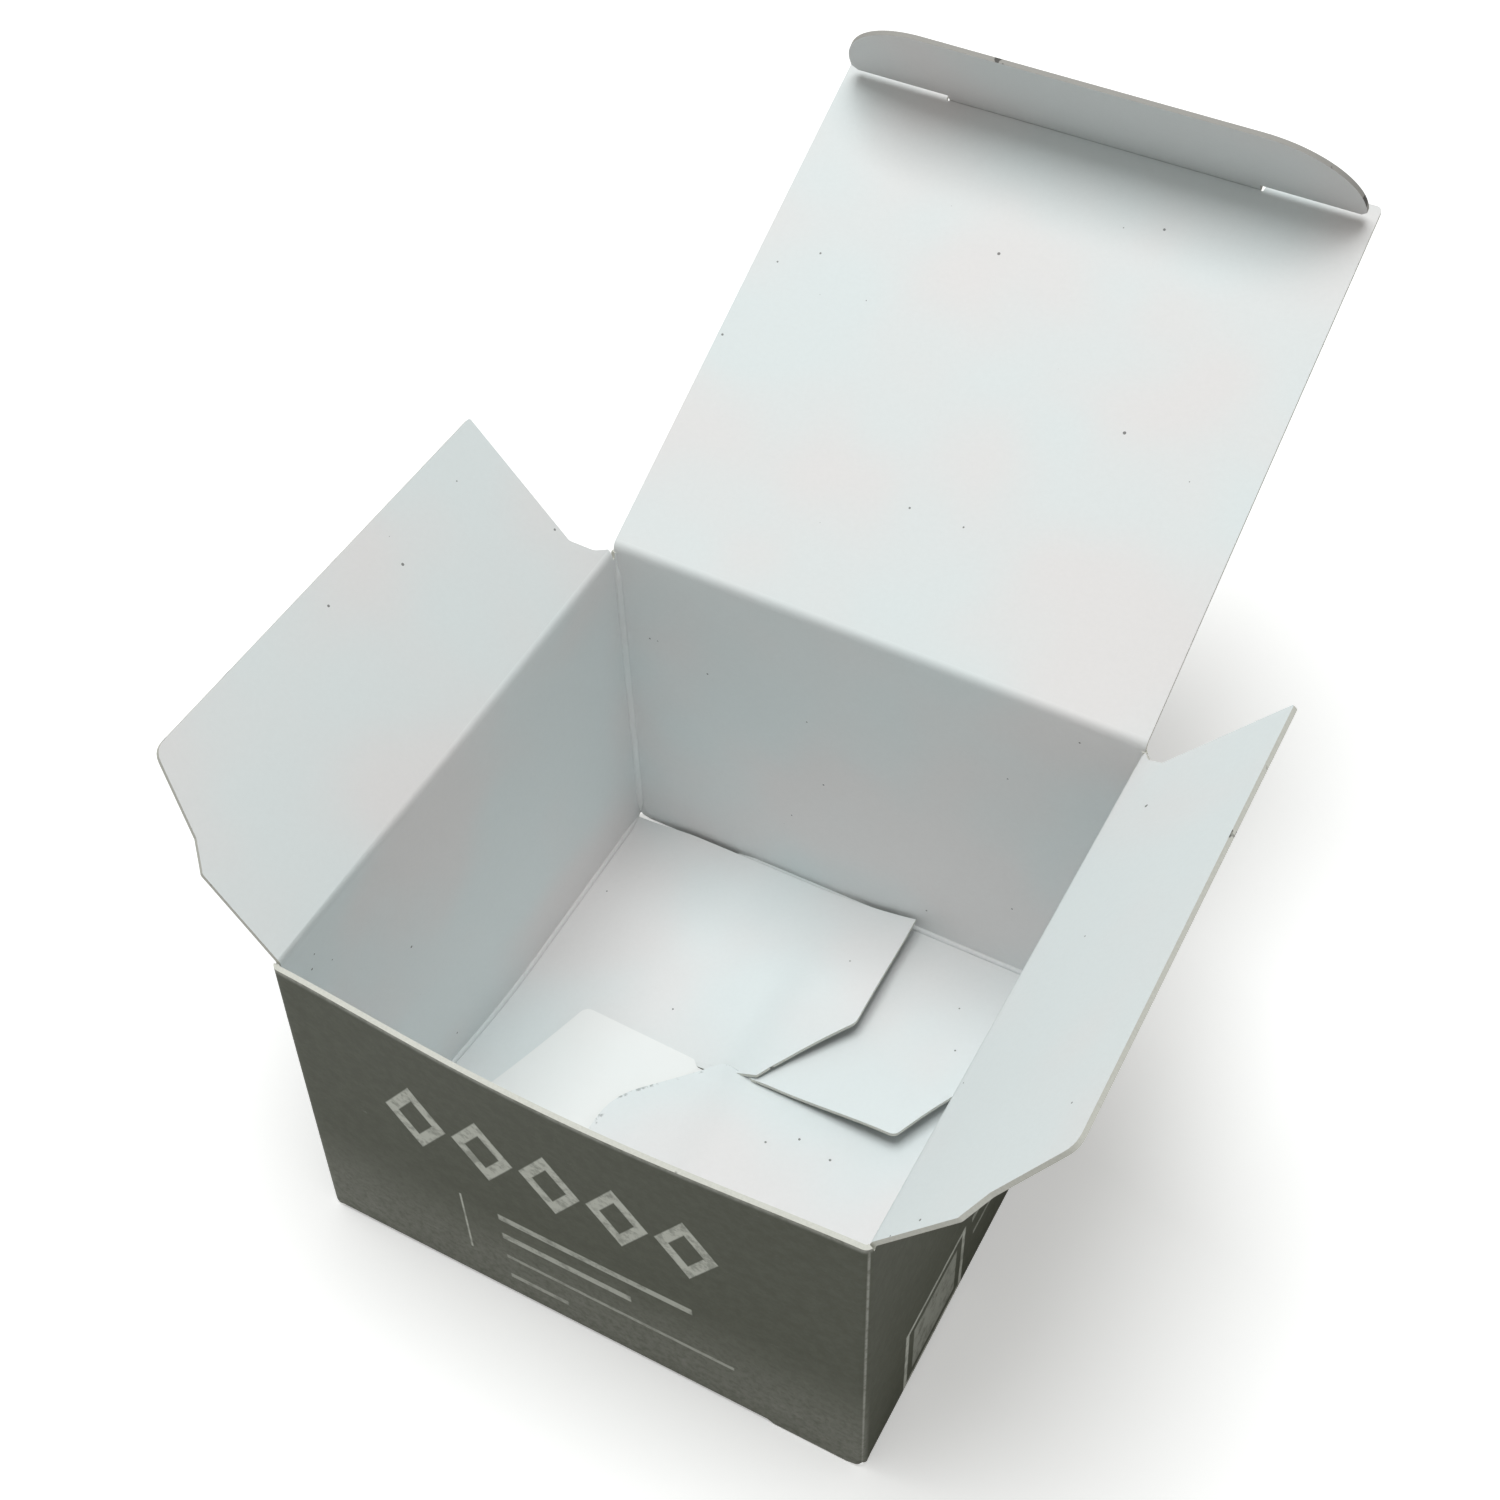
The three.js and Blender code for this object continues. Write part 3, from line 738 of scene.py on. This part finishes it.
def rounded_profile(corners, steps=6):
    """A line through corners (along, out, radius) with each corner cut short and joined by a parabola."""
    points = [np.array(corners[0][:2], float)]
    for before, here, after in zip(corners, corners[1:], corners[2:]):
        corner = np.array(here[:2], float)
        back = np.array(before[:2], float) - corner
        ahead = np.array(after[:2], float) - corner
        cut = min(here[2], np.linalg.norm(back) / 2, np.linalg.norm(ahead) / 2)
        start = corner + back / np.linalg.norm(back) * cut
        end = corner + ahead / np.linalg.norm(ahead) * cut
        t = np.linspace(0, 1, steps)[:, None]
        points.extend((1 - t) ** 2 * start + 2 * t * (1 - t) * corner + t ** 2 * end)
    points.append(np.array(corners[-1][:2], float))
    return np.array(points)


def on_wall(wall, along, out):
    """Plan position of a point along a wall and inwards from its outer face."""
    places = {
        "left": (out - HALF, along),
        "right": (HALF - out, along),
        "front": (along, out - HALF),
        "back": (along, HALF - out),
    }
    return places[wall]


def add_bottom_flap(wall, corners, height):
    """A bottom flap: a quarter bend down from its wall, then board at height(x, y) out to the far profile.

    The attribute edge is 1 along the far profile and fades to 0 by EDGE_BAND inside it.
    """
    profile = rounded_profile(corners)
    order = np.argsort(profile[:, 0], kind="stable")
    ends = profile[order]
    even = np.linspace(ends[0, 0], ends[-1, 0], FLAP_COLUMNS)
    along = np.unique(np.round(np.concatenate([even, ends[:, 0]]), 4))
    far = np.maximum(np.interp(along, ends[:, 0], ends[:, 1]), BEND_RADIUS + LEAST_REACH)
    angle = np.linspace(0, math.pi / 2, BEND_ROWS)[:, None]
    share = np.linspace(0, 1, FLAP_ROWS)[1:, None]
    flat_out = BEND_RADIUS + share * (far - BEND_RADIUS)
    station = np.broadcast_to(along, flat_out.shape)
    level = height(*on_wall(wall, station, flat_out))
    bend_shape = (BEND_ROWS, len(along))
    grids = []
    for radius, lift in ((BEND_RADIUS, 0), (BEND_RADIUS - BOARD, BOARD)):
        bend_out = np.broadcast_to(BEND_RADIUS - radius * np.cos(angle), bend_shape)
        bend_z = np.broadcast_to(BEND_RADIUS - radius * np.sin(angle), bend_shape)
        out = np.vstack([bend_out, flat_out])
        z = np.vstack([bend_z, level + lift])
        x, y = on_wall(wall, np.broadcast_to(along, out.shape), out)
        grids.append(ease(np.stack([x, y, z], -1)))
    flap = board_piece(f"bottom_flap_{wall}", *grids, BOTTOM_BOARD[wall], "carton", "printed_board")
    to_edge = np.vstack([np.full(bend_shape, RAMP), (1 - share) * (far - BEND_RADIUS)])
    edge = smooth_step(EDGE_BAND, 0, to_edge).ravel()
    attribute = flap.data.attributes.new("edge", "FLOAT", "POINT")
    attribute.data.foreach_set("value", np.tile(edge, 2).astype(np.float32))
    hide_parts("carton_body")


def left_height(x, y):
    """Rises over the back flap and curls up towards its free end, as a parabola along its back edge."""
    rise = smooth_step(-HALF + BEND_RADIUS, -HALF + RAMP, x) * smooth_step(0.4, 7.4, y)
    over = (LAYER + LEFT_CLEARANCE) * rise
    tip_curl = LEFT_TIP_CURL * smooth_step(0.5, 6.5, x) * smooth_step(2, 9, y)
    curl = LEFT_CURL * smooth_step(-4.2, 1.8, x) + tip_curl
    back_curl = LEFT_BACK_CURL * np.clip((x + 5) / 11.1, 0, 1) ** 2
    return over + curl + (back_curl - curl) * smooth_step(12, 25, y)


def front_height(x, y):
    """Rises over the left flap."""
    out = y + HALF
    rise = LAYER * smooth_step(BEND_RADIUS, RAMP, out) + FRONT_END_LIFT * smooth_step(18, 27, out)
    return rise * smooth_step(-1.5, -6, x)


def right_height(x, y):
    """Rises over the front flap, and its lobe lies on two layers."""
    over = LAYER * smooth_step(BEND_RADIUS, RAMP, HALF - x) * (1 - 0.1 * smooth_step(-4.6, 1.4, y))
    under = 1 - smooth_step(3.4, HALF - RELIEF - 1, y)
    tip = LOBE_TIP_LIFT * smooth_step(-1.2, -2.6, x) * smooth_step(0.5, 2, y)
    return over * under + LOBE_RISE * smooth_step(0.7, -3.9, x) + tip


def back_height(x, y):
    """Rises over the right flap, with its front edge lifted clear of it, more so to the right."""
    out = HALF - y
    lift = BACK_LIFT + BACK_RIGHT_LIFT * smooth_step(2, 15, x)
    rise = LAYER * smooth_step(BEND_RADIUS, RAMP, out) + lift * smooth_step(RAMP, 22, out)
    return rise * smooth_step(-5.7, 2.8, x)


def add_bottom():
    """The four flaps, each with its far profile as corners: along its wall, out from it, radius."""
    free = HALF - FLAP_CORNER_GAP
    cut = HALF - RELIEF
    add_bottom_flap("left", [
        (-cut, 6, 0), (-cut + 0.02, 8, 0.5), (-10, 14, 3), (-2, 18.4, 2), (1.5, 19.7, 0.4), (1.75, 22.8, 0.1),
        (2.05, 23.5, 0.1), (2.2, 24.4, 0.1), (2.4, 26.6, 0.1), (11.2, 32.5, 0.5), (free, 32.1, 0),
    ], left_height)
    add_bottom_flap("front", [
        (-free, 0.7, 0), (-17.9, 28.1, 0.8), (-5.8, 27.8, 0.2), (-5.2, 27.2, 0.2), (3, 27.2, 1), (10, 18, 3),
        (cut - 0.02, 7, 0.5), (cut, 6, 0),
    ], front_height)
    add_bottom_flap("right", [
        (-free, 36.3, 0), (-5.6, 36.3, 2.6), (2.3, 28.9, 0.3), (2.45, 28.2, 0.05), (2.5, 25.2, 0.05),
        (4, 24.4, 0.4), (5.5, 22, 1), (11, 14, 3), (cut - 0.02, 7, 0.5), (cut, 6, 0),
    ], right_height)
    add_bottom_flap("back", [
        (-HALF + BACK_RELIEF, 0.7, 0), (-0.1, 23.8, 0.4), (15.0, 23.8, 0.6), (free, 0.7, 0),
    ], back_height)


# Beads inside the folds
BEAD_RADIUS = 0.3
BEAD_INSET = 0.52
CORNER_BEAD_RADIUS = 0.42
CORNER_BEAD_GAP = 0.06
CORNER_BEAD_TOP_GAP = 0.4
BEAD_SIDES = 14
BEAD_STATIONS = 60
BEAD_TAPER = 2
BEAD_TIP = 0.1


def add_bead(name, start, end, radius):
    """The ridge that creasing raises inside a fold: a closed rod from start to end, in mm.

    Rings of even points stand along the line, and taper to a share BEAD_TIP of the radius at both ends.
    """
    start, end = np.array(start, float), np.array(end, float)
    length = np.linalg.norm(end - start)
    line = (end - start) / length
    side = np.cross(line, [0.0, 0.0, 1.0]) if abs(line[2]) < 0.9 else np.array([1.0, 0.0, 0.0])
    other = np.cross(line, side)
    turn = np.linspace(0, 2 * math.pi, BEAD_SIDES, endpoint=False)
    ring = radius * (np.cos(turn)[:, None] * side + np.sin(turn)[:, None] * other)
    share = np.linspace(0, 1, BEAD_STATIONS)
    stations = start + share[:, None] * (end - start)
    to_end = np.minimum(share, 1 - share) * length
    taper = BEAD_TIP + (1 - BEAD_TIP) * smooth_step(0, BEAD_TAPER, to_end)
    points = ease(stations[:, None, :] + taper[:, None, None] * ring[None, :, :]).reshape(-1, 3)
    ids = np.arange(BEAD_STATIONS * BEAD_SIDES).reshape(BEAD_STATIONS, BEAD_SIDES)
    around = np.hstack([ids, ids[:, :1]])
    faces = [*quads(around).tolist(), ids[0].tolist(), ids[-1].tolist()]
    sides = np.full(len(faces), PLAIN_SIDE)
    add_piece(name, points, faces, sides, FOLD_BOARD, "carton")


def add_beads():
    """Beads in three upright corners and along the four bottom folds."""
    inside = HALF - BOARD - CORNER_BEAD_GAP
    for name, x, y in (("front_left", -1, -1), ("back_left", -1, 1), ("front_right", 1, -1)):
        start = (x * inside, y * inside, BEND_RADIUS)
        end = (x * inside, y * inside, SIDE_RIM - CORNER_BEAD_TOP_GAP)
        add_bead(f"bead_{name}", start, end, CORNER_BEAD_RADIUS)
    free = HALF - FLAP_CORNER_GAP
    spans = {
        "left": (-HALF + RELIEF, free),
        "front": (-free, HALF - RELIEF),
        "right": (-free, HALF - RELIEF),
        "back": (-HALF + BACK_RELIEF, free),
    }
    for wall, (first, last) in spans.items():
        ends = [(*on_wall(wall, along, BEAD_INSET), BEAD_INSET) for along in (first, last)]
        add_bead(f"bead_bottom_{wall}", *ends, BEAD_RADIUS)


# Glue flap
GLUE_WIDTH = 12
GLUE_INSET = 1.6
GLUE_SLANT = 2.2
GLUE_GAP = 0.02
GLUE_ROWS = 12
GLUE_COLUMNS = 20


def add_glue_flap():
    """The glue flap inside the right wall: a tapered strip of board whose ends slant in evenly."""
    out = np.linspace(0, 1, GLUE_ROWS)[:, None]
    up = np.linspace(0, 1, GLUE_COLUMNS)[None, :]
    low = GLUE_INSET + GLUE_SLANT * out
    high = SIDE_RIM - GLUE_INSET - GLUE_SLANT * out
    z = low + up * (high - low)
    y = np.broadcast_to(HALF - BOARD - GLUE_WIDTH * out, z.shape)
    grids = []
    for x in (HALF - BOARD, HALF - 2 * BOARD):
        grids.append(np.stack([np.full(z.shape, x - GLUE_GAP), y, z], -1))
    board_piece("glue_flap", *grids, FOLD_BOARD, "carton", "printed_board")


# Creases that swing
CREASE_ROWS = 11
CREASE_STATIONS = 60
DUST_CREASE_FRONT_GAP = 0.7
DUST_CREASE_BACK_GAP = 0.9


def crease(name, hinge, parent, flap, line, ends):
    """The bend of a crease with a joint: its two faces are parabolas that leave both boards along them.

    parent and flap are each (direction away from the hinge, direction to the plain side). The corner point of
    the inner parabola is where the two plain faces would meet. The bend eases with its parent's edge.
    """
    (parent_along, parent_in), (flap_along, flap_in) = parent, flap
    first = hinge + (BOARD + CREASE_GAP) * parent_along
    last = hinge + HINGE_SETBACK * flap_along
    meet = hinge + BOARD * (parent_in + flap_in) / (1 + parent_in @ flap_in)
    t = np.linspace(0, 1, CREASE_ROWS)[:, None]
    stations = np.linspace(*ends, CREASE_STATIONS)[None, :, None] * line
    grids = []
    for a, b, c in ((first, hinge, last), (first + BOARD * parent_in, meet, last + BOARD * flap_in)):
        bend = (1 - t) ** 2 * a + 2 * t * (1 - t) * b + t ** 2 * c
        grid = bend[:, None, :] + stations
        grids.append(grid + (1 - t)[:, None] * (ease(grid) - grid))
    piece = board_piece(name, *grids, FOLD_BOARD, None, "flap_board")
    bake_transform(piece)


def lid_directions(angle):
    """Direction along the lid or tuck and to its plain side, turned by an angle about X from closed."""
    along = np.array([0, -math.cos(angle), -math.sin(angle)])
    inward = np.array([0, math.sin(angle), -math.cos(angle)])
    return along, inward


def dust_directions(sign, angle):
    """Direction along a dust flap and to its plain side, opened by an angle; sign is -1 left and 1 right."""
    along = np.array([-sign * math.cos(angle), 0, math.sin(angle)])
    inward = np.array([-sign * math.sin(angle), 0, -math.cos(angle)])
    return along, inward


LID = lid_directions(-LID_OPEN)
TUCK = lid_directions(TUCK_FOLD - LID_OPEN)
DUST_SIGN = {"left": -1, "right": 1}
DUST = {side: dust_directions(sign, DUST_OPEN[side]) for side, sign in DUST_SIGN.items()}


def add_creases():
    """The four creases with joints."""
    down = np.array([0.0, 0.0, -1.0])
    across = np.array([1.0, 0.0, 0.0])
    deep = np.array([0.0, 1.0, 0.0])
    lid_ends = (-LID_SIDE, LID_SIDE)
    tuck_ends = (-TUCK_ROOT_HALF, TUCK_ROOT_HALF)
    dust_ends = (-HALF + DUST_CREASE_FRONT_GAP, HALF - DUST_CREASE_BACK_GAP)
    lid_root = (-LID[0], LID[1])
    crease("crease_lid", hinge_point("lid_hinge"), (down, -deep), LID, across, lid_ends)
    crease("crease_tuck", hinge_point("tuck_hinge"), lid_root, TUCK, across, tuck_ends)
    for side, sign in DUST_SIGN.items():
        wall = (down, -sign * across)
        place = hinge_point(f"dust_{side}_hinge")
        crease(f"crease_dust_{side}", place, wall, DUST[side], deep, dust_ends)


def dress_nodes():
    """Board materials on the lid, the tuck flap and the dust flaps, each with its plain side and painted
    shade.
    """
    # Painted shade: each part's white greyed by its share, the tuck flap most, as it faces away from the
    # light
    dressed = {
        "lid_panel": (LID[1], 0.05),
        "tuck_flap": (TUCK[1], 0.36),
        "dust_flap_left": (DUST["left"][1], 0.11),
        "dust_flap_right": (DUST["right"][1], 0.03),
    }
    for node, (inward, painted_shade) in dressed.items():
        mesh = frame["nodes"][node].data
        mesh.materials.clear()
        mesh.materials.append(board_material(f"{node}_board", outward=-inward, painted_shade=painted_shade))


add_camera()
add_stage()
add_walls()
add_bottom()
add_beads()
add_glue_flap()
add_creases()
dress_nodes()

bpy.context.view_layer.update()
